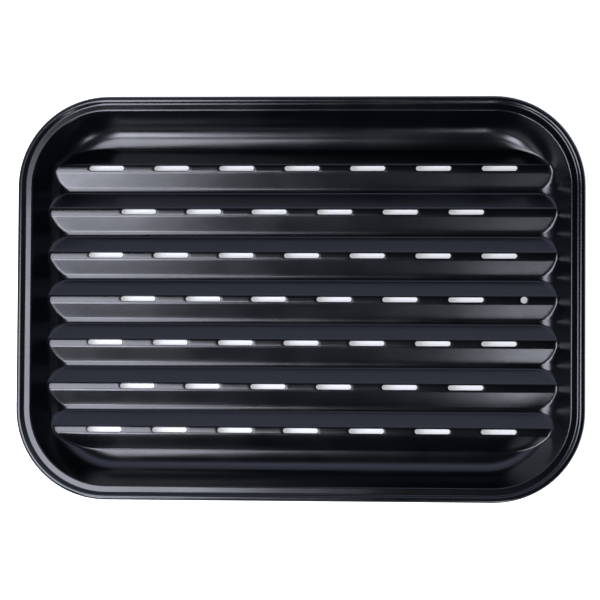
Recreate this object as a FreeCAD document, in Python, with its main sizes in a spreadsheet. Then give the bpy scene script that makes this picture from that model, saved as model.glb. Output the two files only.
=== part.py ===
import FreeCAD, Part
import math
import os

import Sketcher

# A shallow grill tray, pressed from one sheet of steel and enamelled all over: a bowl with
# outward-leaning walls, a floor of long ridges that meet the walls in scallops, slots and one
# round hole along the ridge crests, and a level ledge that ends in a curled bead.
# Lengths are millimetres and angles degrees. +Z is up, X runs along the ridges, and the
# origin is under the middle of the floor, on the plane that the valleys rest on.

# Name, value, meaning.
DRIVING_SIZES = [
    ("overall_length", 343.0, "outer edge to outer edge along X"),
    ("overall_width", 244.0, "outer edge to outer edge along Y"),
    ("corner_radius", 54.0, "outer edge at each corner, in plan"),
    ("sheet_gauge", 0.8, "steel and both coats of enamel"),
    ("rim_width", 8.6, "outer edge to the brink of the wall, level"),
    ("ledge_height", 24.0, "rest plane to the top of the ledge"),
    ("brink_radius", 1.2, "top of the bend from wall to ledge"),
    ("bead_radius", 2.0, "outside of the curled bead"),
    ("bead_rise", 1.8, "top of the ledge to the top of the bead"),
    ("bead_blend", 1.4, "top of the bend from ledge to bead"),
    ("curl_end", 292.0, "angle that the curl turns to, from level and inwards"),
    ("wall_angle", 63.0, "slope of the long and short walls"),
    ("wall_radius", 11.0, "top of the sweep from wall to floor"),
    ("floor_corner_radius", 42.0, "corners of the walls at floor level, in plan"),
    ("ridge_count", 7.0, "ridges, an odd number"),
    ("ridge_pitch", 26.6, "crest to crest"),
    ("ridge_height", 6.8, "valley to crest"),
    ("crest_flat", 1.8, "level strip along each crest"),
    ("crest_radius", 3.6, "top of the bend beside each crest"),
    ("valley_flat", 0.8, "level strip along each valley"),
    ("valley_radius", 2.8, "top of the bend beside each valley"),
    ("slot_length", 22.4, "end to end"),
    ("slot_width", 3.4, "side to side"),
    ("slot_pitch", 40.0, "slot to slot along a crest"),
    ("slots_in_long_row", 7.0, "the rows between have one slot fewer"),
    ("hole_diameter", 4.0, "round hole in the middle crest"),
    ("hole_distance", 135.0, "middle of the tray to the round hole"),
]

# How far a cutting form runs past the sheet that it cuts.
OVERRUN = 2.0

# Lines and points that every sketch has of its own.
HORIZONTAL_AXIS = -1
VERTICAL_AXIS = -2
START, END, CENTRE = 1, 2, 3
ORIGIN = (HORIZONTAL_AXIS, START)

# Places and sizes that follow from the driving ones, as expressions on the sheet.
CAVITY_LENGTH = "(sizes.overall_length - 2 * sizes.rim_width)"
CAVITY_WIDTH = "(sizes.overall_width - 2 * sizes.rim_width)"
CAVITY_CORNER = "(sizes.corner_radius - sizes.rim_width)"
FIRST_RIDGE = "-(sizes.ridge_count - 1) / 2 * sizes.ridge_pitch"
SECOND_RIDGE = f"({FIRST_RIDGE} + sizes.ridge_pitch)"
LONG_ROWS = "ceil(sizes.ridge_count / 2)"
SHORT_ROWS = "floor(sizes.ridge_count / 2)"
SLOTS_IN_SHORT_ROW = "(sizes.slots_in_long_row - 1)"


def fill_sheet(document):
    """Put each driving size in a named cell of the document's sheet."""
    sheet = document.addObject("Spreadsheet::Sheet", "sizes")
    for row, (name, value, meaning) in enumerate(DRIVING_SIZES, 1):
        sheet.set(f"A{row}", meaning)
        sheet.set(f"B{row}", str(value))
        sheet.setAlias(f"B{row}", name)
    document.recompute()
    return sheet


def origin_feature(body, role):
    """Return the body's own base plane or axis with this role."""
    return next(part for part in body.Origin.OriginFeatures if part.Role == role)


def new_sketch(body, name, plane, **offsets):
    """Start a sketch on a base plane, moved by expressions along its own x, y and z."""
    sketch = body.newObject("Sketcher::SketchObject", name)
    sketch.AttachmentSupport = [(origin_feature(body, plane), "")]
    sketch.MapMode = "FlatFace"
    for axis, expression in offsets.items():
        sketch.setExpression(f"AttachmentOffset.Base.{axis}", expression)
    sketch.Document.recompute()
    return sketch


def bind(sketch, name, expression, kind, *places):
    """Add a dimension to a sketch and tie it to the sheet by an expression."""
    value = float(sketch.evalExpression(expression))
    if kind == "Angle":
        value = math.radians(value)
    index = sketch.addConstraint(Sketcher.Constraint(kind, *places, value))
    sketch.renameConstraint(index, name)
    sketch.setExpression(f"Constraints.{name}", expression)


def hold(sketch, kind, *places):
    """Add a constraint that has no size."""
    sketch.addConstraint(Sketcher.Constraint(kind, *places))


def add_line(sketch, start, end):
    """Draw a line between two (x, y) points and return its number."""
    return sketch.addGeometry(Part.LineSegment(FreeCAD.Vector(*start, 0), FreeCAD.Vector(*end, 0)))


def add_arc(sketch, centre, radius, start_degrees, end_degrees):
    """Draw an arc anticlockwise between two angles and return its number."""
    circle = Part.Circle(FreeCAD.Vector(*centre, 0), FreeCAD.Vector(0, 0, 1), radius)
    arc = Part.ArcOfCircle(circle, math.radians(start_degrees), math.radians(end_degrees))
    return sketch.addGeometry(arc)


def draw_rounded_rectangle(sketch, length, width, radius):
    """Draw a rounded rectangle about the sketch's origin from three expressions."""
    half_x = float(sketch.evalExpression(length)) / 2
    half_y = float(sketch.evalExpression(width)) / 2
    bend = float(sketch.evalExpression(radius))
    near_x = half_x - bend
    near_y = half_y - bend
    sides = [
        ((-near_x, -half_y), (near_x, -half_y)),
        ((half_x, -near_y), (half_x, near_y)),
        ((near_x, half_y), (-near_x, half_y)),
        ((-half_x, near_y), (-half_x, -near_y)),
    ]
    centres = [(near_x, -near_y), (near_x, near_y), (-near_x, near_y), (-near_x, -near_y)]
    lines = []
    arcs = []
    for turn, (side, centre) in enumerate(zip(sides, centres)):
        lines.append(add_line(sketch, *side))
        arcs.append(add_arc(sketch, centre, bend, 90 * turn - 90, 90 * turn))
    for turn in range(4):
        hold(sketch, "Tangent", lines[turn], END, arcs[turn], START)
        hold(sketch, "Tangent", arcs[turn], END, lines[(turn + 1) % 4], START)
        hold(sketch, "Vertical" if turn % 2 else "Horizontal", lines[turn])
    for arc in arcs[1:]:
        hold(sketch, "Equal", arcs[0], arc)
    hold(sketch, "Symmetric", arcs[0], CENTRE, arcs[2], CENTRE, *ORIGIN)
    bind(sketch, "length", length, "DistanceX", lines[3], START, lines[1], START)
    bind(sketch, "width", width, "DistanceY", lines[0], START, lines[2], START)
    bind(sketch, "radius", radius, "Radius", arcs[0])


def draw_ridge(sketch, crest_radius, valley_radius):
    """Draw one ridge's section from its two bend radii, open space below it included.

    The sketch's origin is at valley level under the crest.
    """
    pitch = float(sketch.evalExpression("sizes.ridge_pitch"))
    height = float(sketch.evalExpression("sizes.ridge_height"))
    crest_half = float(sketch.evalExpression("sizes.crest_flat / 2"))
    foot_half = (pitch - float(sketch.evalExpression("sizes.valley_flat"))) / 2
    crest_bend = float(sketch.evalExpression(crest_radius))
    valley_bend = float(sketch.evalExpression(valley_radius))

    # The flank is the line that touches both bends.
    both_bends = crest_bend + valley_bend
    run = foot_half - crest_half
    flank = math.sqrt(run**2 + (height - both_bends) ** 2 - both_bends**2)
    slope = math.atan2(height - both_bends, run) + math.atan2(both_bends, flank)
    degrees = math.degrees(slope)
    top_x = crest_half + crest_bend * math.sin(slope)
    top_y = height - crest_bend * (1 - math.cos(slope))
    foot_x = foot_half - valley_bend * math.sin(slope)
    foot_y = valley_bend * (1 - math.cos(slope))

    crest = add_line(sketch, (-crest_half, height), (crest_half, height))
    corners = []
    for side in (-1, 1):
        crest_centre = (side * crest_half, height - crest_bend)
        foot_centre = (side * foot_half, valley_bend)
        if side > 0:
            shoulder = add_arc(sketch, crest_centre, crest_bend, 90 - degrees, 90)
            shoulder_at_crest, shoulder_at_flank = END, START
            heel = add_arc(sketch, foot_centre, valley_bend, 270 - degrees, 270)
            heel_at_flank, heel_at_foot = START, END
        else:
            shoulder = add_arc(sketch, crest_centre, crest_bend, 90, 90 + degrees)
            shoulder_at_crest, shoulder_at_flank = START, END
            heel = add_arc(sketch, foot_centre, valley_bend, 270, 270 + degrees)
            heel_at_flank, heel_at_foot = END, START
        face = add_line(sketch, (side * top_x, top_y), (side * foot_x, foot_y))
        drop = add_line(sketch, (side * foot_half, 0), (side * foot_half, -OVERRUN))
        hold(sketch, "Tangent", crest, END if side > 0 else START, shoulder, shoulder_at_crest)
        hold(sketch, "Tangent", shoulder, shoulder_at_flank, face, START)
        hold(sketch, "Tangent", face, END, heel, heel_at_flank)
        hold(sketch, "Vertical", heel, CENTRE, heel, heel_at_foot)
        hold(sketch, "PointOnObject", heel, heel_at_foot, HORIZONTAL_AXIS)
        hold(sketch, "Coincident", heel, heel_at_foot, drop, START)
        hold(sketch, "Vertical", drop)
        corners.append((shoulder, heel, drop))
    (left_shoulder, left_heel, left_drop), (right_shoulder, right_heel, right_drop) = corners
    closing = add_line(sketch, (-foot_half, -OVERRUN), (foot_half, -OVERRUN))
    hold(sketch, "Coincident", left_drop, END, closing, START)
    hold(sketch, "Coincident", closing, END, right_drop, END)
    hold(sketch, "Symmetric", crest, START, crest, END, VERTICAL_AXIS)
    hold(sketch, "Symmetric", closing, START, closing, END, VERTICAL_AXIS)
    hold(sketch, "Equal", left_shoulder, right_shoulder)
    hold(sketch, "Equal", left_heel, right_heel)
    foot_width = "sizes.ridge_pitch - sizes.valley_flat"
    bind(sketch, "crest_flat", "sizes.crest_flat", "DistanceX", crest, START, crest, END)
    bind(sketch, "foot_width", foot_width, "DistanceX", closing, START, closing, END)
    bind(sketch, "ridge_height", "sizes.ridge_height", "DistanceY", *ORIGIN, crest, START)
    bind(sketch, "crest_radius", crest_radius, "Radius", left_shoulder)
    bind(sketch, "valley_radius", valley_radius, "Radius", left_heel)
    bind(sketch, "overrun", str(OVERRUN), "DistanceY", closing, START, *ORIGIN)


def draw_rim(sketch):
    """Draw the section of the ledge and its curled bead.

    The sketch's origin is at the brink of the wall, level with the top of the ledge, and its x
    runs outwards. The inner end of the ledge runs on past the brink.
    """
    gauge = float(sketch.evalExpression("sizes.sheet_gauge"))
    width = float(sketch.evalExpression("sizes.rim_width"))
    bead = float(sketch.evalExpression("sizes.bead_radius"))
    blend = float(sketch.evalExpression("sizes.bead_blend"))
    rise = float(sketch.evalExpression("sizes.bead_rise"))
    end_degrees = 180 - float(sketch.evalExpression("sizes.curl_end"))

    # The blend touches the ledge from above and the bead from outside.
    bead_centre = (width - bead, rise - bead)
    height_between = blend - bead_centre[1]
    blend_centre = (bead_centre[0] - math.sqrt((bead + blend) ** 2 - height_between**2), blend)
    tilt = math.degrees(math.asin(height_between / (bead + blend)))
    touch = 180 - tilt
    end = math.radians(end_degrees)
    lip_outer = [bead_centre[0] + bead * math.cos(end), bead_centre[1] + bead * math.sin(end)]
    hollow = bead - gauge
    lip_inner = [bead_centre[0] + hollow * math.cos(end), bead_centre[1] + hollow * math.sin(end)]

    inner_end = add_line(sketch, (-OVERRUN, -gauge), (-OVERRUN, 0))
    top = add_line(sketch, (-OVERRUN, 0), (blend_centre[0], 0))
    upper_blend = add_arc(sketch, blend_centre, blend, 270, 360 - tilt)
    bead_outside = add_arc(sketch, bead_centre, bead, end_degrees, touch)
    lip = add_line(sketch, lip_outer, lip_inner)
    bead_inside = add_arc(sketch, bead_centre, hollow, end_degrees, touch)
    lower_blend = add_arc(sketch, blend_centre, blend + gauge, 270, 360 - tilt)
    under = add_line(sketch, (blend_centre[0], -gauge), (-OVERRUN, -gauge))

    hold(sketch, "Vertical", inner_end)
    hold(sketch, "Coincident", inner_end, END, top, START)
    hold(sketch, "PointOnObject", top, START, HORIZONTAL_AXIS)
    hold(sketch, "Horizontal", top)
    hold(sketch, "Tangent", top, END, upper_blend, START)
    hold(sketch, "Tangent", upper_blend, END, bead_outside, END)
    hold(sketch, "Coincident", bead_outside, START, lip, START)
    hold(sketch, "Coincident", lip, END, bead_inside, START)
    hold(sketch, "Coincident", bead_inside, CENTRE, bead_outside, CENTRE)
    hold(sketch, "Tangent", bead_inside, END, lower_blend, END)
    hold(sketch, "Coincident", lower_blend, CENTRE, upper_blend, CENTRE)
    hold(sketch, "Tangent", lower_blend, START, under, START)
    hold(sketch, "Horizontal", under)
    hold(sketch, "Coincident", under, END, inner_end, START)
    bind(sketch, "overrun", str(OVERRUN), "DistanceX", top, START, *ORIGIN)
    bind(sketch, "blend", "sizes.bead_blend", "Radius", upper_blend)
    bind(sketch, "bead", "sizes.bead_radius", "Radius", bead_outside)
    bind(sketch, "hollow", "sizes.bead_radius - sizes.sheet_gauge", "Radius", bead_inside)
    bead_reach = "sizes.rim_width - sizes.bead_radius"
    bind(sketch, "bead_reach", bead_reach, "DistanceX", *ORIGIN, bead_outside, CENTRE)
    bead_drop = "sizes.bead_radius - sizes.bead_rise"
    bind(sketch, "bead_drop", bead_drop, "DistanceY", bead_outside, CENTRE, *ORIGIN)
    hold(sketch, "PointOnObject", bead_outside, CENTRE, lip)
    bind(sketch, "curl_end", "(360 - sizes.curl_end) * 1deg", "Angle", lip)


def draw_slot(sketch):
    """Draw one round-ended slot about the sketch's origin, along x."""
    half_width = float(sketch.evalExpression("sizes.slot_width / 2"))
    half_run = float(sketch.evalExpression("(sizes.slot_length - sizes.slot_width) / 2"))
    lower = add_line(sketch, (-half_run, -half_width), (half_run, -half_width))
    right = add_arc(sketch, (half_run, 0), half_width, -90, 90)
    upper = add_line(sketch, (half_run, half_width), (-half_run, half_width))
    left = add_arc(sketch, (-half_run, 0), half_width, 90, 270)
    ends = (lower, right, upper, left)
    for piece, following in zip(ends, ends[1:] + ends[:1]):
        hold(sketch, "Tangent", piece, END, following, START)
    hold(sketch, "Equal", left, right)
    hold(sketch, "Symmetric", left, CENTRE, right, CENTRE, *ORIGIN)
    hold(sketch, "Horizontal", lower)
    straight = "sizes.slot_length - sizes.slot_width"
    bind(sketch, "straight", straight, "DistanceX", left, CENTRE, right, CENTRE)
    bind(sketch, "radius", "sizes.slot_width / 2", "Radius", left)


def level_edges(shape, height, half_length, half_width):
    """Return the names of the level edges at this height within half a length and a width."""
    tolerance = 1e-4
    names = []
    for number, edge in enumerate(shape.Edges, 1):
        box = edge.BoundBox
        level = max(abs(box.ZMin - height), abs(box.ZMax - height)) < tolerance
        inside_x = max(abs(box.XMin), abs(box.XMax)) < half_length + tolerance
        inside_y = max(abs(box.YMin), abs(box.YMax)) < half_width + tolerance
        if level and inside_x and inside_y:
            names.append(f"Edge{number}")
    return names


def build_ribbed_bowl(document, name, base):
    """Model one face of the pressed bowl as a solid that fills it up to the ledge.

    base is the expression for this face's valley level: the sheet's gauge for the upper face
    and 0 for the lower one. The lower face lies one gauge outside the upper one, square to it.
    """
    body = document.addObject("PartDesign::Body", name)
    outset = f"(sizes.sheet_gauge - {base})"
    wall_outset = f"({outset} / sin(sizes.wall_angle))"
    wall_run = f"((sizes.ledge_height - {base}) / tan(sizes.wall_angle))"

    mouth = new_sketch(body, f"{name}_mouth", "XY_Plane", z="sizes.ledge_height")
    draw_rounded_rectangle(
        mouth,
        f"{CAVITY_LENGTH} + 2 * {wall_outset}",
        f"{CAVITY_WIDTH} + 2 * {wall_outset}",
        f"{CAVITY_CORNER} + {wall_outset}",
    )
    floor = new_sketch(body, f"{name}_floor", "XY_Plane", z=base)
    draw_rounded_rectangle(
        floor,
        f"{CAVITY_LENGTH} + 2 * {wall_outset} - 2 * {wall_run}",
        f"{CAVITY_WIDTH} + 2 * {wall_outset} - 2 * {wall_run}",
        f"sizes.floor_corner_radius + {wall_outset}",
    )
    walls = body.newObject("PartDesign::AdditiveLoft", f"{name}_walls")
    walls.Profile = mouth
    walls.Sections = [floor]
    walls.Ruled = True
    document.recompute()

    sweep = body.newObject("PartDesign::Fillet", f"{name}_sweep")
    level = float(body.evalExpression(base))
    half_length = float(body.evalExpression("sizes.overall_length / 2"))
    half_width = float(body.evalExpression("sizes.overall_width / 2"))
    sweep.Base = (walls, level_edges(walls.Shape, level, half_length, half_width))
    sweep.setExpression("Radius", f"sizes.wall_radius + {outset}")
    document.recompute()

    section = new_sketch(body, f"{name}_ridge_section", "YZ_Plane", x=FIRST_RIDGE, y=base)
    draw_ridge(section, f"sizes.crest_radius - {outset}", f"sizes.valley_radius + {outset}")
    ridge = body.newObject("PartDesign::Pocket", f"{name}_ridge")
    ridge.Profile = section
    ridge.Type = "ThroughAll"
    ridge.Midplane = True
    pattern = body.newObject("PartDesign::LinearPattern", f"{name}_ridges")
    pattern.Originals = [ridge]
    pattern.Direction = (origin_feature(body, "Y_Axis"), [""])
    pattern.setExpression("Length", "(sizes.ridge_count - 1) * sizes.ridge_pitch")
    pattern.setExpression("Occurrences", "sizes.ridge_count")
    body.Tip = pattern
    document.recompute()
    return body


def bend_brink(body, sharp):
    """Round the bend between the walls and the ledge, above and below the sheet."""
    half_length = f"{CAVITY_LENGTH} / 2 + sizes.sheet_gauge"
    half_width = f"{CAVITY_WIDTH} / 2 + sizes.sheet_gauge"
    underside = "sizes.ledge_height - sizes.sheet_gauge"
    places = {
        "brink_top": ("sizes.ledge_height", "sizes.brink_radius"),
        "brink_underside": (underside, "sizes.brink_radius - sizes.sheet_gauge"),
    }
    previous = sharp
    for name, (height, radius) in places.items():
        bend = body.newObject("PartDesign::Fillet", name)
        reach = [float(body.evalExpression(size)) for size in (height, half_length, half_width)]
        bend.Base = (previous, level_edges(previous.Shape, *reach))
        bend.setExpression("Radius", radius)
        body.Document.recompute()
        previous = bend


def cut_slots(body, name, first_row, slots, rows):
    """Punch slots at one pitch along every second ridge, from the ridge at y first_row on."""
    outline = new_sketch(
        body,
        f"{name}_outline",
        "XY_Plane",
        x=f"-({slots} - 1) / 2 * sizes.slot_pitch",
        y=first_row,
        z="sizes.ledge_height",
    )
    draw_slot(outline)
    slot = body.newObject("PartDesign::Pocket", f"{name}_slot")
    slot.Profile = outline
    slot.Type = "ThroughAll"
    pattern = body.newObject("PartDesign::LinearPattern", name)
    pattern.Originals = [slot]
    pattern.Direction = (origin_feature(body, "X_Axis"), [""])
    pattern.setExpression("Length", f"({slots} - 1) * sizes.slot_pitch")
    pattern.setExpression("Occurrences", slots)
    pattern.Direction2 = (origin_feature(body, "Y_Axis"), [""])
    pattern.setExpression("Length2", f"({rows} - 1) * 2 * sizes.ridge_pitch")
    pattern.setExpression("Occurrences2", rows)
    body.Tip = pattern
    body.Document.recompute()


def cut_round_hole(body):
    """Punch the one round hole, near the end of the middle crest."""
    outline = new_sketch(
        body, "hole_outline", "XY_Plane", x="sizes.hole_distance", z="sizes.ledge_height"
    )
    radius = float(outline.evalExpression("sizes.hole_diameter / 2"))
    circle = outline.addGeometry(Part.Circle(FreeCAD.Vector(), FreeCAD.Vector(0, 0, 1), radius))
    hold(outline, "Coincident", circle, CENTRE, *ORIGIN)
    bind(outline, "radius", "sizes.hole_diameter / 2", "Radius", circle)
    hole = body.newObject("PartDesign::Pocket", "round_hole")
    hole.Profile = outline
    hole.Type = "ThroughAll"
    body.Document.recompute()


def build_tray(document):
    """Model the tray: the lower face's form, less the upper face's, with rim, slots and hole."""
    cavity = build_ribbed_bowl(document, "upper_face", "sizes.sheet_gauge")
    body = build_ribbed_bowl(document, "grill_tray", "0")

    path = new_sketch(body, "rim_path", "XY_Plane", z="sizes.ledge_height")
    draw_rounded_rectangle(path, CAVITY_LENGTH, CAVITY_WIDTH, CAVITY_CORNER)
    section = new_sketch(
        body,
        "rim_section",
        "XZ_Plane",
        x="sizes.overall_length / 2 - sizes.rim_width",
        y="sizes.ledge_height",
        z="sizes.overall_width / 2 - sizes.corner_radius",
    )
    draw_rim(section)
    rim = body.newObject("PartDesign::AdditivePipe", "rim")
    rim.Profile = section
    rim.Spine = (path, [f"Edge{number}" for number in range(1, 9)])
    document.recompute()

    hollow = body.newObject("PartDesign::Boolean", "hollow")
    hollow.Type = "Cut"
    hollow.addObjects([cavity])
    document.recompute()

    bend_brink(body, hollow)
    cut_slots(body, "long_rows", FIRST_RIDGE, "sizes.slots_in_long_row", LONG_ROWS)
    cut_slots(body, "short_rows", SECOND_RIDGE, SLOTS_IN_SHORT_ROW, SHORT_ROWS)
    cut_round_hole(body)
    return body


def check(document, pieces):
    """Stop with a message if a feature failed or a piece isn't one valid solid."""
    for feature in document.Objects:
        if "Invalid" in feature.State or "Error" in feature.State:
            raise RuntimeError(f"{feature.Label} failed: {feature.State}")
    for piece in pieces:
        if piece.Shape.isNull() or not piece.Shape.isValid():
            raise RuntimeError(f"{piece.Label} has no valid shape")
        if len(piece.Shape.Solids) != 1:
            raise RuntimeError(f"{piece.Label} has {len(piece.Shape.Solids)} solids, not one")


def main():
    """Build the tray, check it and write its file."""
    document = FreeCAD.newDocument("perforated_grill_tray")
    fill_sheet(document)
    pieces = [build_tray(document)]
    check(document, pieces)
    os.makedirs("parts", exist_ok=True)
    for piece in pieces:
        piece.Shape.exportStep(f"parts/{piece.Label}.step")
        volume = piece.Shape.Volume / 1000
        print(f"{piece.Label}: {volume:.2f} cubic centimetres, {len(piece.Shape.Faces)} faces")


main()
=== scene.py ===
"""A perforated grill tray of enamelled pressed steel, seen from straight above.

The tray is made in the order of a press shop: a flat blank is laid out, its slots are punched, the floor is pressed
into ridges, the wall is drawn up round it, the rim is curled, and the sheet gets its gauge.
Lengths are in metres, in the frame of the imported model: +X along the ridges towards the end with the round hole,
+Y across them and +Z up out of the open bowl.
"""

import logging
import math
from dataclasses import dataclass, field
from enum import Enum
from typing import Any, Callable

import bmesh
import bpy
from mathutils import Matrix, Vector


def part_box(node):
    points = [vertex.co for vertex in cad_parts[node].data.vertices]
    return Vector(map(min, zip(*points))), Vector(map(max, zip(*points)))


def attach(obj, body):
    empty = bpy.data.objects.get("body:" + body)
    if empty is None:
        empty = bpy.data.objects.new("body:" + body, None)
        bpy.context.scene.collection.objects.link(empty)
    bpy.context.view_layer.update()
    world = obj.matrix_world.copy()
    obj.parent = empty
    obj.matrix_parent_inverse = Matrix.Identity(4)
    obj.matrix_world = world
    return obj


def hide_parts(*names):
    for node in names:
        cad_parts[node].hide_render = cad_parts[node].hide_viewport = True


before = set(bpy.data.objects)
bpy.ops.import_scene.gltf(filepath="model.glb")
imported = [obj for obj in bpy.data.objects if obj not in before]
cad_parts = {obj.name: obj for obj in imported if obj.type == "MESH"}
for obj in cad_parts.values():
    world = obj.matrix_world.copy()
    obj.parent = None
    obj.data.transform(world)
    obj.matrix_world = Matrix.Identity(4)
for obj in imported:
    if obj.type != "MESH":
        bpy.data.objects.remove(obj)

MM = 0.001
NODE = "grill_tray"
TRAY_NAME = "enamelled_tray_sheet"
STATION = "station"
HALVINGS = 40
NEXT_TO = 0.01 * MM
SAME_PLACE = 1e-6
STEEPEST_FLANK = math.radians(60.0)
SMOOTH_UP_TO = math.radians(60.0)
MIX_COLOUR_A, MIX_COLOUR_B, MIX_COLOUR = 6, 7, 2
LOG = logging.getLogger("grill_tray_scene")


def solve(rising: Callable[[float], float], low: float, high: float) -> float:
    """Find where a rising function crosses zero, by halving.

    Args:
        rising: The function.
        low: A value where it is below zero.
        high: A value where it is above zero.

    Returns:
        The value where it is zero.
    """
    for _ in range(HALVINGS):
        middle = (low + high) / 2
        if rising(middle) < 0:
            low = middle
        else:
            high = middle
    return (low + high) / 2


def soft_top(first: float, second: float, blend: float) -> float:
    """Take the larger of two heights, with a rounded crease where they meet.

    Args:
        first: One height.
        second: The other height.
        blend: The difference in height within which the crease is rounded.

    Returns:
        The height of the rounded surface.
    """
    larger = max(first, second)
    if blend <= 0:
        return larger
    near = max(blend - abs(first - second), 0.0) / blend
    return larger + blend / 4 * near ** 2


class Side(Enum):
    """The three kinds of stretch of a rounded rectangle."""

    END = "short straight side"
    CORNER = "round corner"
    FLANK = "long straight side"


@dataclass(frozen=True)
class Place:
    """A place on the edge of a rounded rectangle of any size.

    Attributes:
        side: The stretch that it is on.
        share: How far along the stretch: from -1 to 1 on a straight side, or the angle from +X in a corner.
        east: 1 for the +X half, -1 for the other.
        north: 1 for the +Y half, -1 for the other.
    """

    side: Side
    share: float
    east: float
    north: float

    def normal(self) -> Vector:
        """Return the direction straight out of the edge.

        Returns:
            A level vector of length 1.
        """
        if self.side is Side.END:
            return Vector((self.east, 0.0))
        if self.side is Side.FLANK:
            return Vector((0.0, self.north))
        return Vector((self.east * math.cos(self.share), self.north * math.sin(self.share)))


@dataclass(frozen=True)
class Outline:
    """A rounded rectangle about the middle of the tray, seen from above."""

    half_length: float
    half_width: float
    corner: float

    def grown(self, by: float) -> "Outline":
        """Return the outline that runs a distance outside this one."""
        return Outline(self.half_length + by, self.half_width + by, self.corner + by)

    def point(self, place: Place) -> Vector:
        """Return the point of this outline at a place.

        Args:
            place: The place.

        Returns:
            The point, seen from above.
        """
        straight_x = self.half_length - self.corner
        straight_y = self.half_width - self.corner
        if place.side is Side.END:
            return Vector((place.east * self.half_length, place.share * straight_y))
        if place.side is Side.FLANK:
            return Vector((place.share * straight_x, place.north * self.half_width))
        return Vector((
            place.east * (straight_x + self.corner * math.cos(place.share)),
            place.north * (straight_y + self.corner * math.sin(place.share)),
        ))

    def place(self, x: float, y: float) -> Place:
        """Return the place on this outline of a point of it.

        Args:
            x: The place along the ridges.
            y: The place across them.

        Returns:
            The place.
        """
        straight_x = self.half_length - self.corner
        straight_y = self.half_width - self.corner
        east = math.copysign(1.0, x)
        north = math.copysign(1.0, y)
        if abs(x) <= straight_x + 1e-9:
            return Place(Side.FLANK, x / straight_x, east, north)
        if abs(y) <= straight_y:
            return Place(Side.END, y / straight_y, east, north)
        return Place(Side.CORNER, math.atan2(abs(y) - straight_y, abs(x) - straight_x), east, north)

    def reach(self, y: float) -> float:
        """Return how far along X the outline reaches at a distance from the middle.

        Args:
            y: The distance.

        Returns:
            The place along X.
        """
        beyond = abs(y) - (self.half_width - self.corner)
        if beyond <= 0:
            return self.half_length
        return self.half_length - self.corner + math.sqrt(max(self.corner ** 2 - beyond ** 2, 0.0))

    def outside(self, x: float, y: float) -> float:
        """Return the distance from the outline to a point, below zero inside it.

        Args:
            x: The place along the ridges.
            y: The place across them.

        Returns:
            The distance.
        """
        over_x = abs(x) - (self.half_length - self.corner)
        over_y = abs(y) - (self.half_width - self.corner)
        if over_x > 0 and over_y > 0:
            return math.hypot(over_x, over_y) - self.corner
        return max(over_x, over_y) - self.corner


@dataclass
class Bowl:
    """The upper face of the bowl without its ridges: floor, swept edge and leaning wall.

    The wall stands a little steeper along the two long sides than at the two ends, with a wider swept edge.
    """

    half_length: float
    half_width: float
    depth: float
    lean: float = math.radians(65.0)
    sweep: float = 13.0 * MM
    side_lean: float = math.radians(66.0)
    side_sweep: float = 15.0 * MM
    floor_corner: float = 42.0 * MM
    mouth_corner: float = 45.4 * MM
    DIAGONAL = 1 / math.sqrt(2)

    def __post_init__(self) -> None:
        """Work out the lean on the diagonal, where the wall's corner is drawn out further."""
        run = self.depth / math.tan(self.lean)
        side_run = self.depth / math.tan(self.side_lean)
        self.growth = self.mouth_corner - self.floor_corner
        self.corner_run = run - self.growth
        self.side_corner_run = side_run - self.growth
        self.edge_half_length = self.half_length - run
        self.edge_half_width = self.half_width - side_run
        self.diagonal_lean = self.lean_at(math.radians(45.0))
        self.floor = self.outline(0.0)

    def lean_at(self, angle: float) -> float:
        """Return the wall's angle to the floor in a corner.

        Args:
            angle: The direction in which the wall faces, from +X.

        Returns:
            The angle in radians.
        """
        run = self.corner_run * math.cos(angle) + self.side_corner_run * math.sin(angle) + self.growth
        return math.atan2(self.depth, run)

    @staticmethod
    def shift(height: float, lean: float, sweep: float) -> float:
        """Return how far outside the edge of floor and wall the face is.

        Args:
            height: The height over the floor.
            lean: The wall's angle to the floor.
            sweep: The radius of the swept edge.

        Returns:
            The distance, below zero where the swept edge is still inside.
        """
        if height < sweep * (1 - math.cos(lean)):
            across = math.sqrt(sweep ** 2 - (sweep - height) ** 2)
            return across - sweep * math.tan(lean / 2)
        return height / math.tan(lean)

    def outline(self, height: float) -> Outline:
        """Return the level line of the face at a height over the floor.

        Args:
            height: The height.

        Returns:
            The outline.
        """
        diagonal = self.edge_half_length - self.floor_corner * (1 - self.DIAGONAL)
        diagonal += self.shift(height, self.diagonal_lean, self.sweep) * self.DIAGONAL
        half_length = self.edge_half_length + self.shift(height, self.lean, self.sweep)
        half_width = self.edge_half_width + self.shift(height, self.side_lean, self.side_sweep)
        corner = (half_length - diagonal) / (1 - self.DIAGONAL)
        return Outline(half_length, half_width, corner)

    def height_at(self, x: float, y: float) -> float:
        """Return the height of the face over the floor, below zero inside the floor's edge.

        Args:
            x: The place along the ridges.
            y: The place across them.

        Returns:
            The height.
        """
        inside = self.floor.outside(x, y)
        if inside <= 0:
            return inside
        return solve(lambda height: -self.outline(height).outside(x, y), 0.0, self.depth)

    def height_between(self, low: float, high: float, share: float) -> float:
        """Return the height a share of the way across, seen from above, between two heights of the face.

        The section at the ends serves all round, because only the spacing of the sheet's rings hangs on it.

        Args:
            low: The lower height.
            high: The higher height.
            share: The share of the way, from 0 to 1.

        Returns:
            The height over the floor.
        """
        start = self.shift(low, self.lean, self.sweep)
        target = start + (self.shift(high, self.lean, self.sweep) - start) * share
        return solve(lambda height: self.shift(height, self.lean, self.sweep) - target, low, high)

    def steepness(self, height: float) -> float:
        """Return the sine of the swept edge's slope at a height over the floor."""
        level = 1 - height / self.sweep
        return math.sqrt(max(1 - level ** 2, 0.0))


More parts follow.
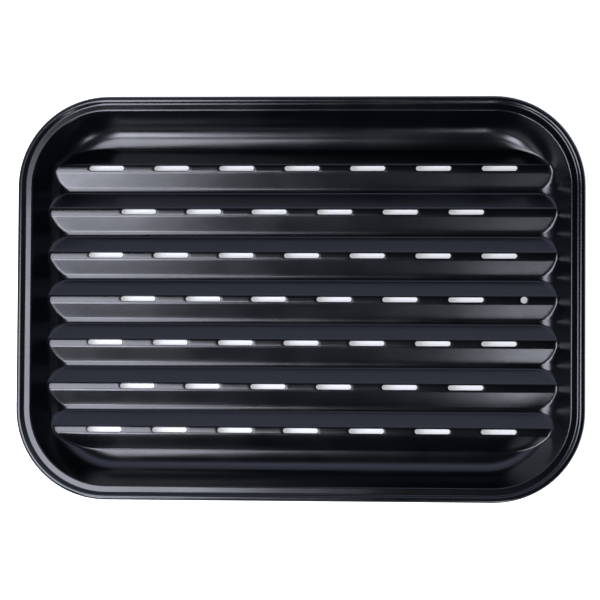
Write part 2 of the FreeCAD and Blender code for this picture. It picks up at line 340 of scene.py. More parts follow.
@dataclass
class Ridges:
    """The corrugation of the floor, as heights over its valleys."""

    count: int = 7
    pitch: float = 26.6 * MM
    height: float = 6.8 * MM
    crest: float = 1.8 * MM
    crest_bend: float = 3.6 * MM
    valley: float = 0.8 * MM
    valley_bend: float = 2.8 * MM

    def __post_init__(self) -> None:
        """Work out the slope of the flanks, which are straight between the two bends."""
        bends = self.crest_bend + self.valley_bend
        run = (self.pitch - self.crest - self.valley) / 2

        def rise(slope: float) -> float:
            """Return how far a flank of a slope rises above the ridge."""
            straight = run - bends * math.sin(slope)
            return bends * (1 - math.cos(slope)) + straight * math.tan(slope) - self.height

        self.slope = solve(rise, 0.0, STEEPEST_FLANK)
        self.shoulder = self.crest / 2 + self.crest_bend * math.sin(self.slope)
        self.heel = self.pitch / 2 - self.valley / 2 - self.valley_bend * math.sin(self.slope)

    def profile(self, across: float) -> float:
        """Return the height at a distance from the middle of a ridge.

        Args:
            across: The distance.

        Returns:
            The height over the valley.
        """
        if across <= self.crest / 2:
            return self.height
        if across <= self.shoulder:
            return self.height - self.crest_bend + math.sqrt(self.crest_bend ** 2 - (across - self.crest / 2) ** 2)
        foot = self.pitch / 2 - self.valley / 2
        if across >= foot:
            return 0.0
        if across >= self.heel:
            return self.valley_bend - math.sqrt(self.valley_bend ** 2 - (foot - across) ** 2)
        top = self.height - self.crest_bend * (1 - math.cos(self.slope))
        return top - (across - self.shoulder) * math.tan(self.slope)

    def nearest(self, y: float) -> int:
        """Return the number of the ridge nearest to a line, counted from the middle one."""
        last = self.count // 2
        return max(-last, min(last, round(y / self.pitch)))

    def height_at(self, y: float) -> float:
        """Return the height of the corrugation at a distance from the middle."""
        return self.profile(abs(y - self.nearest(y) * self.pitch))


@dataclass
class Slots:
    """The slots along the crests, and the round hole in the middle one."""

    length: float = 21.2 * MM
    width: float = 2.9 * MM
    pitch: float = 40.0 * MM
    long_row: int = 7
    hole_diameter: float = 4.0 * MM
    hole_x: float = 135.0 * MM
    edge_round: float = 0.5 * MM
    edge_drop: float = 0.3 * MM
    edge_curve: float = 2.6

    def centres(self, ridge: int) -> list[float]:
        """Return the middles of the slots along a ridge, which has one fewer where it is even."""
        number = self.long_row - (ridge + 1) % 2
        return [(place - (number - 1) / 2) * self.pitch for place in range(number)]

    def edge_point(self, turn: float) -> Vector:
        """Return the point of a slot's round end at an angle from +X, from the slot's middle.

        Args:
            turn: The angle.

        Returns:
            The point.
        """
        radius = self.width / 2
        end = math.copysign(self.length / 2 - radius, math.cos(turn))
        return Vector((end + radius * math.cos(turn), radius * math.sin(turn)))

    def outside(self, ridge: int, x: float, across: float) -> float:
        """Return how far a point of a crest is outside the nearest opening.

        Args:
            ridge: The number of the ridge.
            x: The place along the ridge.
            across: The distance from the middle of the crest.

        Returns:
            The distance, below zero inside the opening.
        """
        straight = (self.length - self.width) / 2
        best = min(abs(x - centre) for centre in self.centres(ridge))
        gap = math.hypot(max(best - straight, 0.0), across) - self.width / 2
        if ridge == 0:
            gap = min(gap, math.hypot(x - self.hole_x, across) - self.hole_diameter / 2)
        return gap

    def drop(self, gap: float) -> float:
        """Return how far the rounded edge of an opening lies below the crest at a distance from it."""
        near = max(1 - max(gap, 0.0) / self.edge_round, 0.0)
        return self.edge_drop * near ** self.edge_curve


@dataclass
class Rim:
    """The brink, the level ledge and the curled bead round the mouth.

    The support points beside each bend keep the wall and the ledge flat in the light.
    """

    width: float = 8.6 * MM
    brink: float = 1.2 * MM
    bead: float = 2.0 * MM
    bead_rise: float = 1.8 * MM
    blend: float = 1.4 * MM
    curl_end: float = math.radians(292.0)
    support: float = 0.25 * MM
    BRINK_STEPS = 5
    BLEND_STEPS = 4
    CURL_STEPS = 18

    def section(self, lean: float, ledge: float) -> list[tuple[float, float]]:
        """Return the points of the rim's upper face from the wall to the lip of the curl.

        Args:
            lean: The angle of the wall that the rim starts from.
            ledge: The height of the level ledge.

        Returns:
            The distance outside the mouth and the height of each point.
        """
        points = []
        tangent = self.brink * math.tan(lean / 2)
        for step in range(self.BRINK_STEPS + 1):
            turn = lean * (1 - step / self.BRINK_STEPS)
            points.append((tangent - self.brink * math.sin(turn), ledge - self.brink * (1 - math.cos(turn))))
        foot_x, foot_z = points[0]
        points.insert(0, (foot_x - self.support * math.cos(lean), foot_z - self.support * math.sin(lean)))
        points.append((tangent + self.support, ledge))
        bead_x = self.width - self.bead
        bead_z = ledge + self.bead_rise - self.bead
        rise = ledge + self.blend - bead_z
        blend_x = bead_x - math.sqrt((self.bead + self.blend) ** 2 - rise ** 2)
        start = math.atan2(rise, bead_x - blend_x)
        points.append((blend_x - self.support, ledge))
        for step in range(self.BLEND_STEPS + 1):
            turn = (math.pi / 2 - start) * step / self.BLEND_STEPS
            points.append((blend_x + self.blend * math.sin(turn), ledge + self.blend * (1 - math.cos(turn))))
        for step in range(1, self.CURL_STEPS + 1):
            turn = start + (self.curl_end - start) * step / self.CURL_STEPS
            points.append((bead_x - self.bead * math.cos(turn), bead_z + self.bead * math.sin(turn)))
        return points


class SheetMesh:
    """A mesh shaped in edit mode, whose vertices carry the number of the station they were laid out at."""

    def __init__(self, name: str, columns: int, lines: int) -> None:
        """Add a flat grid and number its vertices line by line.

        Args:
            name: The object's name.
            columns: How many vertices each line has.
            lines: How many lines there are.
        """
        bpy.ops.object.select_all(action="DESELECT")
        bpy.ops.mesh.primitive_grid_add(x_subdivisions=columns - 1, y_subdivisions=lines - 1, size=1.0)
        self.piece = bpy.context.object
        self.piece.name = name
        self.piece.data.name = name
        bpy.ops.object.mode_set(mode="EDIT")
        mesh = self.edited()
        station = mesh.verts.layers.int.new(STATION)
        for number, vertex in enumerate(mesh.verts):
            vertex[station] = number
        self.update()

    def edited(self) -> bmesh.types.BMesh:
        """Return the mesh as it stands in edit mode."""
        return bmesh.from_edit_mesh(self.piece.data)

    def update(self) -> None:
        """Hand what was changed back to the mesh."""
        bmesh.update_edit_mesh(self.piece.data)

    def lay(self, where: Callable[[bmesh.types.BMVert, int], Vector], picked_only: bool = False) -> None:
        """Move vertices to where a rule puts them.

        Args:
            where: The rule, from a vertex and its station to its place.
            picked_only: Whether only the picked vertices move.
        """
        mesh = self.edited()
        station = mesh.verts.layers.int[STATION]
        for vertex in mesh.verts:
            if vertex.select or not picked_only:
                vertex.co = where(vertex, vertex[station])
        self.update()

    def pick_faces(self, wanted: Callable[[Vector], bool]) -> None:
        """Pick the faces whose middle a rule wants, and nothing else.

        Args:
            wanted: The rule.
        """
        bpy.ops.mesh.select_all(action="DESELECT")
        bpy.ops.mesh.select_mode(type="FACE")
        mesh = self.edited()
        for face in mesh.faces:
            face.select_set(wanted(face.calc_center_median()))
        self.update()

    def pick_open_edges(self, wanted: Callable[[int], bool]) -> None:
        """Pick the open edges whose two stations a rule wants, and nothing else.

        Args:
            wanted: The rule.
        """
        bpy.ops.mesh.select_all(action="DESELECT")
        bpy.ops.mesh.select_mode(type="EDGE")
        mesh = self.edited()
        station = mesh.verts.layers.int[STATION]
        for edge in mesh.edges:
            edge.select_set(edge.is_boundary and all(wanted(vertex[station]) for vertex in edge.verts))
        self.update()

    def close(self) -> None:
        """Leave edit mode."""
        bpy.ops.mesh.select_mode(type="VERT")
        bpy.ops.object.mode_set(mode="OBJECT")


@dataclass
class GrillTray:
    """The whole tray: one pressed sheet with a corrugated, slotted floor and a curled rim.

    Attributes:
        low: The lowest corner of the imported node.
        high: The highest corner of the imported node.
    """

    low: Vector
    high: Vector
    gauge: float = 0.8 * MM
    crease: float = 2.0 * MM
    ridges: Ridges = field(default_factory=Ridges)
    slots: Slots = field(default_factory=Slots)
    rim: Rim = field(default_factory=Rim)
    BEND_STEPS = 3
    SLOT_LINE = 2
    HOLE_LINE = 3
    FLANK_LINES = (0.03, 0.35, 0.68, 0.97, 1.0)
    OUTER_LINES = 15
    SLOT_COLUMNS = (0.0, 7.5 * MM, 9.25 * MM, 10.75 * MM, 12.5 * MM)
    SLOT_STRAIGHT = 8.0 * MM
    SLOT_RINGS = (0.5 * MM, 0.22 * MM, 0.07 * MM, 0.0)
    HOLE_CELL_FROM = 130.75 * MM
    HOLE_COLUMNS = (135.4 * MM, 138.2 * MM)
    STRETCH_FROM = 100.0 * MM
    LAST_GAP = 1.2 * MM
    CREASE_COLUMNS = (3.2 * MM, 1.3 * MM, 0.5 * MM, 0.0)
    CREASE_RINGS = (0.5 * MM, 1.2 * MM)
    CREASE_WITHIN = 6.0 * MM
    CREST_MARGIN = 0.1 * MM
    SWEEP_RINGS = 9
    SWEEP_TOP = 13.0 * MM
    MOST_GAUGES = 2.0

    def __post_init__(self) -> None:
        """Work out the bowl from the node's box, and then the lines and columns of the blank."""
        self.ledge = self.high.z - self.rim.bead_rise
        self.bowl = Bowl(
            half_length=self.high.x - self.rim.width,
            half_width=self.high.y - self.rim.width,
            depth=self.ledge - self.gauge,
        )
        self.lines = self.line_stations()
        self.columns = self.column_stations()
        self.last_column = self.columns[-1]
        self.width = len(self.columns) + 2 * len(self.CREASE_COLUMNS)
        self.places: dict[int, Place] = {}
        self.opening_points: dict[int, tuple[Vector, Vector]] = {}

    def crest_offsets(self) -> list[float]:
        """Return the lines of half a crest: its flat's edge and the steps of its bend.

        Returns:
            The distances from the ridge's middle.
        """
        ridges = self.ridges
        turns = [ridges.slope * step / self.BEND_STEPS for step in range(self.BEND_STEPS + 1)]
        return [ridges.crest / 2 + ridges.crest_bend * math.sin(turn) for turn in turns]

    def inner_offsets(self) -> list[float]:
        """Return the lines from a ridge's shoulder down to the valley, as distances from its middle.

        Returns:
            The distances.
        """
        ridges = self.ridges
        flank = [ridges.shoulder + (ridges.heel - ridges.shoulder) * share for share in self.FLANK_LINES]
        foot = ridges.pitch / 2 - ridges.valley / 2
        turns = [ridges.slope * (1 - step / self.BEND_STEPS) for step in range(1, self.BEND_STEPS + 1)]
        return flank + [foot - ridges.valley_bend * math.sin(turn) for turn in turns]

    def corner_turn(self, y: float) -> float:
        """Return the direction in which the bowl faces where its corner meets the ridge at a line.

        Args:
            y: The line.

        Returns:
            The angle from +X.
        """
        outline = self.bowl.outline(self.ridges.height_at(y))
        beyond = y - (outline.half_width - outline.corner)
        return math.asin(max(-1.0, min(beyond / outline.corner, 1.0)))

    def line_stations(self) -> list[float]:
        """Return the blank's lines along X, from the lowest Y to the highest.

        Returns:
            Each line's Y.
        """
        ridges = self.ridges
        crest = self.crest_offsets()
        half = crest + self.inner_offsets()
        last = ridges.count // 2
        lines = set()
        for ridge in range(-last, last + 1):
            centre = ridge * ridges.pitch
            lines.add(centre)
            for offset in half:
                for side in (-1, 1):
                    if abs(centre + side * offset) < last * ridges.pitch + crest[-1] + SAME_PLACE:
                        lines.add(centre + side * offset)
            if abs(centre + ridges.pitch / 2) < last * ridges.pitch:
                lines.add(centre + ridges.pitch / 2)
        shoulder = last * ridges.pitch + crest[-1]
        first = self.corner_turn(shoulder)
        for step in range(1, self.OUTER_LINES + 1):
            turn = first + (math.pi / 2 - first) * step / self.OUTER_LINES
            line = solve(lambda y: self.corner_turn(y) - turn, shoulder, self.bowl.floor.half_width)
            lines.update((line, -line))
        return sorted(lines)

    def column_stations(self) -> list[float]:
        """Return the blank's columns across the ridges, without the ones at the creases.

        Returns:
            Each column's X.
        """
        half = self.slots.pitch / 2
        halves = range(self.slots.long_row)
        right = [half * number + step for number in halves for step in self.SLOT_COLUMNS if number or step]
        right += self.HOLE_COLUMNS
        return [-x for x in reversed(right)] + [0.0] + right

    def reach(self, y: float) -> float:
        """Return where the ridge at a line meets the bowl."""
        return self.bowl.outline(self.ridges.height_at(y)).reach(y)

    def column_places(self, y: float) -> list[float]:
        """Return where the columns cross a line, with those at the creases.

        Args:
            y: The line.

        Returns:
            The X of each crossing.
        """
        reach = self.reach(y)
        crease = [reach - back for back in self.CREASE_COLUMNS]
        wanted = self.last_column + self.LAST_GAP - self.STRETCH_FROM
        stretch = min(1.0, (crease[0] - self.STRETCH_FROM) / wanted)
        places = []
        for x in self.columns:
            over = abs(x) - self.STRETCH_FROM
            if over > 0:
                x = math.copysign(self.STRETCH_FROM + over * stretch, x)
            places.append(x)
        return [-x for x in reversed(crease)] + places + crease

    def surface(self, x: float, y: float) -> float:
        """Return the height of the tray's upper face inside the bowl.

        Args:
            x: The place along the ridges.
            y: The place across them.

        Returns:
            The height over the table.
        """
        ridge = self.ridges.height_at(y)
        if self.bowl.floor.outside(x, y) < -self.CREASE_WITHIN:
            height = ridge
        else:
            blend = self.crease * self.bowl.steepness(ridge)
            height = soft_top(ridge, self.bowl.height_at(x, y), blend)
        number = self.ridges.nearest(y)
        across = abs(y - number * self.ridges.pitch)
        if across < self.ridges.shoulder + self.CREST_MARGIN:
            height -= self.slots.drop(self.slots.outside(number, x, across))
        return self.gauge + height

    def on_face(self, flat: Vector) -> Vector:
        """Return the point of the tray's upper face straight over a point of the plan."""
        return Vector((flat.x, flat.y, self.surface(flat.x, flat.y)))

    def lay_blank(self) -> SheetMesh:
        """Lay the flat blank out, each line as long as its ridge.

        Returns:
            The blank, in edit mode.
        """
        sheet = SheetMesh(TRAY_NAME, self.width, len(self.lines))
        rows = [self.column_places(y) for y in self.lines]

        def where(vertex: bmesh.types.BMVert, station: int) -> Vector:
            """Put a vertex where its line and its column cross."""
            line, column = divmod(station, self.width)
            return Vector((rows[line][column], self.lines[line], 0.0))

        sheet.lay(where)
        return sheet

    def opening_cells(self) -> list[tuple[int, float, float, float, bool]]:
        """Return each opening's ridge, middle, first and last column and whether it is the round hole.

        Returns:
            A row of these for each opening.
        """
        last = self.ridges.count // 2
        cell = self.SLOT_COLUMNS[-1]
        cells = []
        for ridge in range(-last, last + 1):
            for centre in self.slots.centres(ridge):
                cells.append((ridge, centre, centre - cell, centre + cell, False))
        cells.append((0, self.slots.hole_x, self.HOLE_CELL_FROM, self.last_column, True))
        return cells

    def punch(self, sheet: SheetMesh) -> None:
        """Punch the slots and the round hole, and lay rings of edges round each of them.

        Args:
            sheet: The blank.
        """
        cells = self.opening_cells()
        crest = self.crest_offsets()

        def punched(middle: Vector) -> bool:
            """Say whether a face of the blank is in the cell of an opening.

            Args:
                middle: The face's middle.

            Returns:
                Whether it is.
            """
            ridge = self.ridges.nearest(middle.y)
            across = abs(middle.y - ridge * self.ridges.pitch)
            for number, _, first, last, round_hole in cells:
                half = crest[self.HOLE_LINE if round_hole else self.SLOT_LINE]
                if number == ridge and across < half and first < middle.x < last:
                    return True
            return False

        sheet.pick_faces(punched)
        bpy.ops.mesh.delete(type="FACE")
        for ridge, centre, first, last, round_hole in cells:
            self.plan_opening(ridge, centre, first, last, round_hole)
        for distance in self.SLOT_RINGS:
            sheet.pick_open_edges(lambda station: station in self.opening_points)
            bpy.ops.mesh.extrude_edges_move()

            def where(vertex: bmesh.types.BMVert, station: int, out: float = distance) -> Vector:
                """Put a vertex at its place on the ring round its opening."""
                point, normal = self.opening_points[station]
                return (point + normal * out).to_3d()

            sheet.lay(where, picked_only=True)

    def plan_opening(self, ridge: int, centre: float, first: float, last: float, round_hole: bool) -> None:
        """Give each station round the cell of an opening its point on the opening's edge.

        Args:
            ridge: The number of the ridge.
            centre: The middle of the opening along the ridge.
            first: The cell's first column.
            last: The cell's last column.
            round_hole: Whether the opening is the round hole.
        """
        middle = ridge * self.ridges.pitch
        half = self.crest_offsets()[self.HOLE_LINE if round_hole else self.SLOT_LINE]
        rows = [row for row, y in enumerate(self.lines) if abs(y - middle) < half + SAME_PLACE]
        side = len(self.CREASE_COLUMNS)
        columns = [
            column + side for column, x in enumerate(self.columns) if first - SAME_PLACE < x < last + SAME_PLACE]
        loop = [(rows[-1], column) for column in columns]
        loop += [(row, columns[-1]) for row in reversed(rows[:-1])]
        loop += [(rows[0], column) for column in reversed(columns[:-1])]
        loop += [(row, columns[0]) for row in rows[1:-1]]
        origin = Vector((centre, middle))
        if round_hole:
            start = len(columns) / 2 - 0.5
            for number, (row, column) in enumerate(loop):
                turn = math.pi / 2 - 2 * math.pi * (number - start) / len(loop)
                normal = Vector((math.cos(turn), math.sin(turn)))
                point = origin + normal * self.slots.hole_diameter / 2
                self.opening_points[row * self.width + column] = (point, normal)
            return
        offsets = (self.columns[column - side] - centre for column in columns)
        straight = [x for x in offsets if abs(x) < self.SLOT_STRAIGHT]
        arc = (len(loop) - 2 * len(straight)) // 2
        first_arc = (len(columns) - len(straight)) // 2 + len(straight)
        for number, (row, column) in enumerate(loop):
            after = (number - first_arc) % len(loop)
            if after < arc:
                turn = math.pi / 2 - math.pi * (after + 0.5) / arc
            elif after >= arc + len(straight) and after < 2 * arc + len(straight):
                turn = -math.pi / 2 - math.pi * (after - arc - len(straight) + 0.5) / arc
            else:
                x = self.columns[column - side] - centre
                normal = Vector((0.0, 1.0 if row == rows[-1] else -1.0))
                point = origin + Vector((x, normal.y * self.slots.width / 2))
                self.opening_points[row * self.width + column] = (point, normal)
                continue
            normal = Vector((math.cos(turn), math.sin(turn)))
            self.opening_points[row * self.width + column] = (origin + self.slots.edge_point(turn), normal)

    def press(self, sheet: SheetMesh) -> None:
        """Press the flat blank into the ridges.

        Args:
            sheet: The punched blank.
        """
        def where(vertex: bmesh.types.BMVert, station: int) -> Vector:
            """Put a vertex on the tray's upper face, straight over its place."""
            return self.on_face(vertex.co)

        sheet.lay(where)

    def on_edge(self, station: int) -> bool:
        """Say whether a station is on the edge of the blank."""
        line, column = divmod(station, self.width)
        return line in (0, len(self.lines) - 1) or column in (0, self.width - 1)

    def spread(self, sheet: SheetMesh, where: Callable[[bmesh.types.BMVert, int], Vector]) -> None:
        """Draw the sheet's open edge out by one ring, which a rule then puts in its place.

        Args:
            sheet: The sheet.
            where: The rule, from a vertex and its station to its place.
        """
        sheet.pick_open_edges(self.on_edge)
        bpy.ops.mesh.extrude_edges_move()
        sheet.lay(where, picked_only=True)

    def draw_wall(self, sheet: SheetMesh) -> None:
        """Draw the wall up from the scalloped edge of the floor.

        Args:
            sheet: The pressed sheet.
        """
        start: dict[int, Vector] = {}
        edge_lines = (0, len(self.lines) - 1)
        for line, y in enumerate(self.lines):
            outline = self.bowl.outline(self.ridges.height_at(y))
            columns = range(self.width) if line in edge_lines else (0, self.width - 1)
            row = self.column_places(y)
            for column in columns:
                station = line * self.width + column
                self.places[station] = outline.place(row[column], y)
                start[station] = Vector((row[column], y))

        for out in self.CREASE_RINGS:
            def beside(vertex: bmesh.types.BMVert, station: int, out: float = out) -> Vector:
                """Put a vertex a little outside the crease."""
                return self.on_face(start[station] + self.places[station].normal() * out)

            self.spread(sheet, beside)

        heights = {
            station: self.bowl.height_at(*(flat + self.places[station].normal() * self.CREASE_RINGS[-1]))
            for station, flat in start.items()
        }
        for ring in range(1, self.SWEEP_RINGS + 1):
            def swept(vertex: bmesh.types.BMVert, station: int, share: float = ring / self.SWEEP_RINGS) -> Vector:
                """Put a vertex on the swept edge, a share of the way across to the wall."""
                height = self.bowl.height_between(heights[station], self.SWEEP_TOP, share)
                return self.on_face(self.bowl.outline(height).point(self.places[station]))

            self.spread(sheet, swept)

        half_way = (self.SWEEP_TOP + self.bowl.depth) / 2
        wall = self.bowl.outline(half_way)

        def up_the_wall(vertex: bmesh.types.BMVert, station: int) -> Vector:
            """Put a vertex half way up the wall."""
            return Vector((*wall.point(self.places[station]), self.gauge + half_way))

        self.spread(sheet, up_the_wall)

    def curl_rim(self, sheet: SheetMesh) -> None:
        """Bend the brink, lay the ledge and curl the bead round the mouth.

        Args:
            sheet: The drawn sheet.
        """
        mouth = self.bowl.outline(self.bowl.depth)
        sections = {}
        for station, place in self.places.items():
            lean = {Side.END: self.bowl.lean, Side.FLANK: self.bowl.side_lean}.get(
                place.side, self.bowl.lean_at(place.share))
            sections[station] = self.rim.section(lean, self.ledge)
        for number in range(len(sections[0])):
            def where(vertex: bmesh.types.BMVert, station: int, number: int = number) -> Vector:
                """Put a vertex on the next point of the rim's section."""
                out, height = sections[station][number]
                return Vector((*mouth.grown(out).point(self.places[station]), height))

            self.spread(sheet, where)

    def give_gauge(self, piece: bpy.types.Object) -> None:
        """Give the sheet its gauge downwards, with upright walls in the openings.

        The even offset throws a few lower vertices far away where narrow faces meet at a sharp turn. Those go
        one gauge down the upper face's normal instead.

        Args:
            piece: The sheet, which is one face thick.
        """
        upper = len(piece.data.vertices)
        normals = [vertex.normal.copy() for vertex in piece.data.vertices]
        thicken = piece.modifiers.new("gauge", "SOLIDIFY")
        thicken.thickness = self.gauge
        thicken.offset = -1.0
        thicken.use_even_offset = True
        bpy.ops.object.modifier_apply(modifier=thicken.name)
        vertices = piece.data.vertices
        for number in range(upper):
            above = vertices[number].co
            if (vertices[upper + number].co - above).length > self.MOST_GAUGES * self.gauge:
                vertices[upper + number].co = above - normals[number] * self.gauge
            ridge = self.ridges.nearest(above.y)
            across = abs(above.y - ridge * self.ridges.pitch)
            if across > self.ridges.shoulder or above.z > self.high.z / 2:
                continue
            if self.slots.outside(ridge, above.x, across) < self.slots.edge_round + NEXT_TO:
                height = self.ridges.height_at(above.y)
                vertices[upper + number].co = (above.x, above.y, height)

    def build(self) -> bpy.types.Object:
        """Make the tray's sheet.

        Returns:
            The finished piece.
        """
        sheet = self.lay_blank()
        self.punch(sheet)
        self.press(sheet)
        self.draw_wall(sheet)
        self.curl_rim(sheet)
        sheet.close()
        piece = sheet.piece
        self.give_gauge(piece)
        bpy.ops.object.shade_smooth_by_angle(angle=SMOOTH_UP_TO)
        return piece


def linear(value: str) -> tuple[float, float, float, float]:
    """Turn an sRGB hex colour into linear values.

    Args:
        value: The colour as six hex digits.

    Returns:
        Red, green, blue and an alpha of 1.
    """
    parts = [int(value[start:start + 2], 16) / 255 for start in (0, 2, 4)]
    return (*(part / 12.92 if part <= 0.04045 else ((part + 0.055) / 1.055) ** 2.4 for part in parts), 1.0)


def add_node(tree: bpy.types.NodeTree, kind: str, settings: dict[str, Any] | None = None,
             inputs: dict[str, Any] | None = None) -> bpy.types.Node:
    """Add a node with its settings, and set or link its inputs.

    Args:
        tree: The tree that gets the node.
        kind: The node's type.
        settings: Values of the node's own properties.
        inputs: For each input, a value, or the output socket that feeds it.

    Returns:
        The node.
    """
    node = tree.nodes.new(kind)
    for name, value in (settings or {}).items():
        setattr(node, name, value)
    for name, value in (inputs or {}).items():
        socket = node.inputs[name]
        if isinstance(value, bpy.types.NodeSocket):
            tree.links.new(value, socket)
        else:
            socket.default_value = value
    return node


@dataclass(frozen=True)
class VitreousEnamel:
    """Black vitreous enamel, a glass coat fired on pressed steel sheet.

    It was sprayed on as a slip and melted. To the eye it is almost black, and it mirrors the lamps softly, like
    glass with a faint waviness and a slightly uneven gloss. The grain is drawn about as fine as the render can
    show, and the real one may be finer.
    """

    colour: str = "040507"
    pale_colour: str = "060709"
    cloud: float = 40.0 * MM
    roughness: float = 0.21
    roughness_spread: float = 0.04
    ior: float = 1.52
    ripple: float = 5.0 * MM
    ripple_depth: float = 0.010 * MM
    grain: float = 0.9 * MM
    grain_depth: float = 0.0015 * MM

    def material(self) -> bpy.types.Material:
        """Return the material.

        Returns:
            The finished material.
        """
        material = bpy.data.materials.new("black_vitreous_enamel")
        material.use_nodes = True
        tree = material.node_tree
        tree.nodes.clear()
        place = add_node(tree, "ShaderNodeTexCoord").outputs["Object"]
        cloud = add_node(tree, "ShaderNodeTexNoise", inputs={
            "Vector": place, "Scale": 1 / self.cloud, "Detail": 3.0, "Roughness": 0.55})
        tint = add_node(tree, "ShaderNodeMix", {"data_type": "RGBA"}, {
            "Factor": cloud.outputs["Fac"],
            MIX_COLOUR_A: linear(self.colour), MIX_COLOUR_B: linear(self.pale_colour)})
        gloss = add_node(tree, "ShaderNodeMapRange", inputs={
            "Value": cloud.outputs["Fac"], "From Min": 0.3, "From Max": 0.7,
            "To Min": self.roughness - self.roughness_spread, "To Max": self.roughness + self.roughness_spread})
        ripple = add_node(tree, "ShaderNodeTexNoise", inputs={
            "Vector": place, "Scale": 1 / self.ripple, "Detail": 2.0, "Roughness": 0.5})
        wavy = add_node(tree, "ShaderNodeBump", inputs={
            "Strength": 1.0, "Distance": self.ripple_depth, "Height": ripple.outputs["Fac"]})
        grain = add_node(tree, "ShaderNodeTexNoise", inputs={
            "Vector": place, "Scale": 1 / self.grain, "Detail": 2.0, "Roughness": 0.6})
        grainy = add_node(tree, "ShaderNodeBump", inputs={
            "Strength": 1.0, "Distance": self.grain_depth, "Height": grain.outputs["Fac"],
            "Normal": wavy.outputs["Normal"]})
        shader = add_node(tree, "ShaderNodeBsdfPrincipled", inputs={
            "Base Color": tint.outputs[MIX_COLOUR], "Roughness": gloss.outputs["Result"],
            "Metallic": 0.0, "IOR": self.ior, "Normal": grainy.outputs["Normal"]})
        add_node(tree, "ShaderNodeOutputMaterial", inputs={"Surface": shader.outputs["BSDF"]})
        return material


@dataclass(frozen=True)
class LightTable:
    """The matt white acrylic table that the tray lies on, lit from below.

    To the eye it is an even white without a shadow round the tray. Under the tray its glow is turned down as
    painted shade, standing in for the tray's shadow on it, so the slots show it a little grey. That painted shade
    ends inside the edge of the tray's floor, so only the slots show it.

    Attributes:
        painted_shade_half_tray: Half the length and half the width of the dimmer field, which is painted shade.
    """

    colour: str = "F4F5F8"
    roughness: float = 0.9
    glow: float = 1.0
    # Painted shade: the lower glow under the tray stands in for the tray's shadow on the table.
    painted_shade_under_tray: float = 0.52
    painted_shade_half_tray: tuple[float, float] = (138.0 * MM, 88.0 * MM)

    def material(self) -> bpy.types.Material:
        """Return the material.

        Returns:
            The finished material.
        """
        material = bpy.data.materials.new("white_acrylic_table_painted_shade")
        material.use_nodes = True
        tree = material.node_tree
        tree.nodes.clear()
        place = add_node(tree, "ShaderNodeTexCoord").outputs["Object"]
        axes = add_node(tree, "ShaderNodeSeparateXYZ", inputs={"Vector": place}).outputs
        # Painted shade: the glow is turned down inside the tray's footprint, in place of the tray's shadow seen
        # through the slots.
        beyond = []
        for axis, half in zip("XY", self.painted_shade_half_tray):
            off = add_node(tree, "ShaderNodeMath", {"operation": "ABSOLUTE"}, {0: axes[axis]})
            flag = add_node(tree, "ShaderNodeMath", {"operation": "GREATER_THAN"}, {0: off.outputs[0], 1: half})
            beyond.append(flag.outputs[0])
        outside = add_node(tree, "ShaderNodeMath", {"operation": "MAXIMUM"}, {0: beyond[0], 1: beyond[1]})
        glow = add_node(tree, "ShaderNodeMapRange", inputs={
            "Value": outside.outputs[0], "To Min": self.painted_shade_under_tray, "To Max": self.glow})
        shader = add_node(tree, "ShaderNodeBsdfPrincipled", inputs={
            "Base Color": linear(self.colour), "Roughness": self.roughness, "Specular IOR Level": 0.0,
            "Emission Color": linear(self.colour), "Emission Strength": glow.outputs["Result"]})
        add_node(tree, "ShaderNodeOutputMaterial", inputs={"Surface": shader.outputs["BSDF"]})
        return material


@dataclass(frozen=True)
class Softbox:
    """A soft studio light: a lit rectangle that faces the tray."""

    name: str
    place: tuple[float, float, float]
    size: tuple[float, float]
    brightness: float
    colour: str = "ECF0FF"

    def build(self) -> None:
        """Add the light. Its power comes from the wanted brightness of its face.

        It lights only the faces that the camera sees, and nothing that is mirrored in them, so the walls stay dark.
        """
        data = bpy.data.lights.new(self.name, "AREA")
        data.shape = "RECTANGLE"
        data.size, data.size_y = self.size
        data.energy = self.brightness * math.pi * self.size[0] * self.size[1]
        data.color = linear(self.colour)[:3]
        data.cycles.max_bounces = 0
        light = bpy.data.objects.new(self.name, data)
        bpy.context.scene.collection.objects.link(light)
        light.location = self.place
        light.rotation_euler = (-light.location).to_track_quat("-Z", "Y").to_euler()


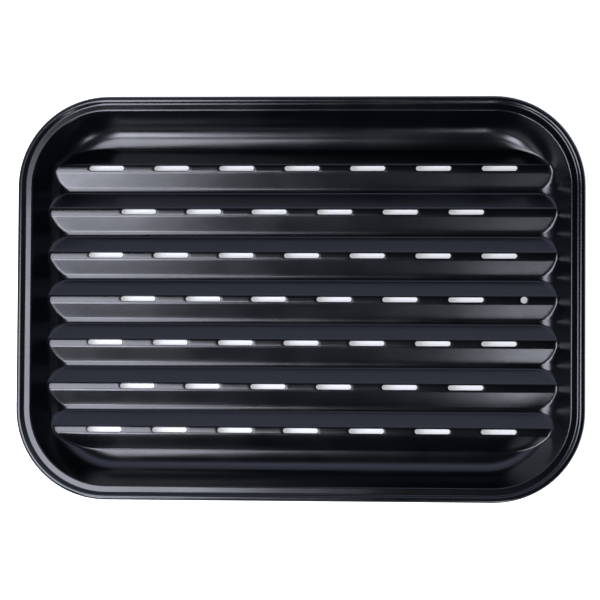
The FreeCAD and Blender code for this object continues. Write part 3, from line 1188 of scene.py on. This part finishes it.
@dataclass
class Studio:
    """The table, the lights, the room and the camera.

    Attributes:
        table_gap: How far the table is under the tray, so that no two faces lie in one plane.
        wall: The brightness of the room's pale wall.
        wall_fade: The heights of a direction between which the wall ends at its top.
        wall_foot: The share of the wall's brightness at its foot.
        foot_fade: The heights between which it rises to the full brightness.
        south: The share of the wall's brightness in the south.
        north_fade: The northings between which it rises to the full brightness.
        ceiling: The brightness of the rest of the room.
    """

    floor_size: float = 6.0
    table_gap: float = 0.05 * MM
    camera_place: tuple[float, float, float] = (0.1258, -0.0616, 1.639)
    camera_turn: tuple[float, float, float] = (2.17, 4.42, 0.36)
    lens: float = 161.6
    sensor: float = 36.0
    room_colour: str = "C5D0EF"
    wall: float = 2.0
    wall_fade: tuple[float, float] = (0.46, 0.82)
    wall_foot: float = 0.5
    foot_fade: tuple[float, float] = (0.36, 0.62)
    south: float = 0.12
    north_fade: tuple[float, float] = (0.0, 0.5)
    ceiling: float = 0.01
    softboxes: tuple[Softbox, ...] = (
        Softbox("key_softbox", (-0.328, -0.139, 0.50), (0.414, 0.537), 8.9),
        Softbox("low_softbox", (-0.254, -0.590, 0.497), (0.181, 0.332), 15.1),
        Softbox("strip_light", (0.162, -0.594, 0.14), (0.10, 0.27), 8.5),
    )

    def add_floor(self) -> None:
        """Put the table under the tray."""
        bpy.ops.object.select_all(action="DESELECT")
        bpy.ops.mesh.primitive_plane_add(size=self.floor_size, location=(0.0, 0.0, -self.table_gap))
        floor = bpy.context.object
        floor.name = "table_floor"
        floor.data.materials.append(LightTable().material())

    def light_room(self) -> None:
        """Light the room: a pale wall low in the north, dark elsewhere, with the softboxes before it."""
        world = bpy.data.worlds.new("studio_room")
        bpy.context.scene.world = world
        world.use_nodes = True
        tree = world.node_tree
        tree.nodes.clear()
        direction = add_node(tree, "ShaderNodeTexCoord").outputs["Generated"]
        axes = add_node(tree, "ShaderNodeSeparateXYZ", inputs={"Vector": direction}).outputs
        levels = []
        for axis, (first, last), (before, after) in (
                ("Z", self.wall_fade, (self.wall, 0.0)),
                ("Z", self.foot_fade, (self.wall_foot, 1.0)),
                ("Y", self.north_fade, (self.south, 1.0))):
            levels.append(add_node(tree, "ShaderNodeMapRange", {"interpolation_type": "SMOOTHSTEP"}, {
                "Value": axes[axis], "From Min": first, "From Max": last, "To Min": before, "To Max": after,
            }).outputs["Result"])
        low, foot, north = levels
        lit = add_node(tree, "ShaderNodeMath", {"operation": "MULTIPLY"}, {0: low, 1: foot})
        glow = add_node(tree, "ShaderNodeMath", {"operation": "MULTIPLY_ADD"}, {
            0: lit.outputs["Value"], 1: north, 2: self.ceiling})
        background = add_node(tree, "ShaderNodeBackground", inputs={
            "Color": linear(self.room_colour), "Strength": glow.outputs["Value"]})
        add_node(tree, "ShaderNodeOutputWorld", inputs={"Surface": background.outputs["Background"]})
        for softbox in self.softboxes:
            softbox.build()

    def add_camera(self) -> None:
        """Hang the camera over the tray, at the photograph's angle."""
        data = bpy.data.cameras.new("overhead_camera")
        data.lens = self.lens
        data.sensor_width = self.sensor
        camera = bpy.data.objects.new("overhead_camera", data)
        camera.location = self.camera_place
        camera.rotation_euler = [math.radians(turn) for turn in self.camera_turn]
        bpy.context.scene.collection.objects.link(camera)
        bpy.context.scene.camera = camera

    def build(self) -> None:
        """Set the studio up."""
        self.add_floor()
        self.light_room()
        self.add_camera()
        bpy.context.scene.view_settings.view_transform = "Standard"


def main() -> None:
    """Build the tray and the studio, and keep both boxes of the tray."""
    logging.basicConfig(level=logging.INFO, format="%(name)s: %(message)s")
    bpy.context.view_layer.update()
    tray = GrillTray(*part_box(NODE))
    piece = tray.build()
    piece.data.materials.clear()
    piece.data.materials.append(VitreousEnamel().material())
    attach(piece, "root")
    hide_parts(NODE)
    LOG.info("tray sheet: %d vertices, %d faces", len(piece.data.vertices), len(piece.data.polygons))
    Studio().build()
    LOG.info("studio: table, lights and camera")


if __name__ == "__main__":
    main()
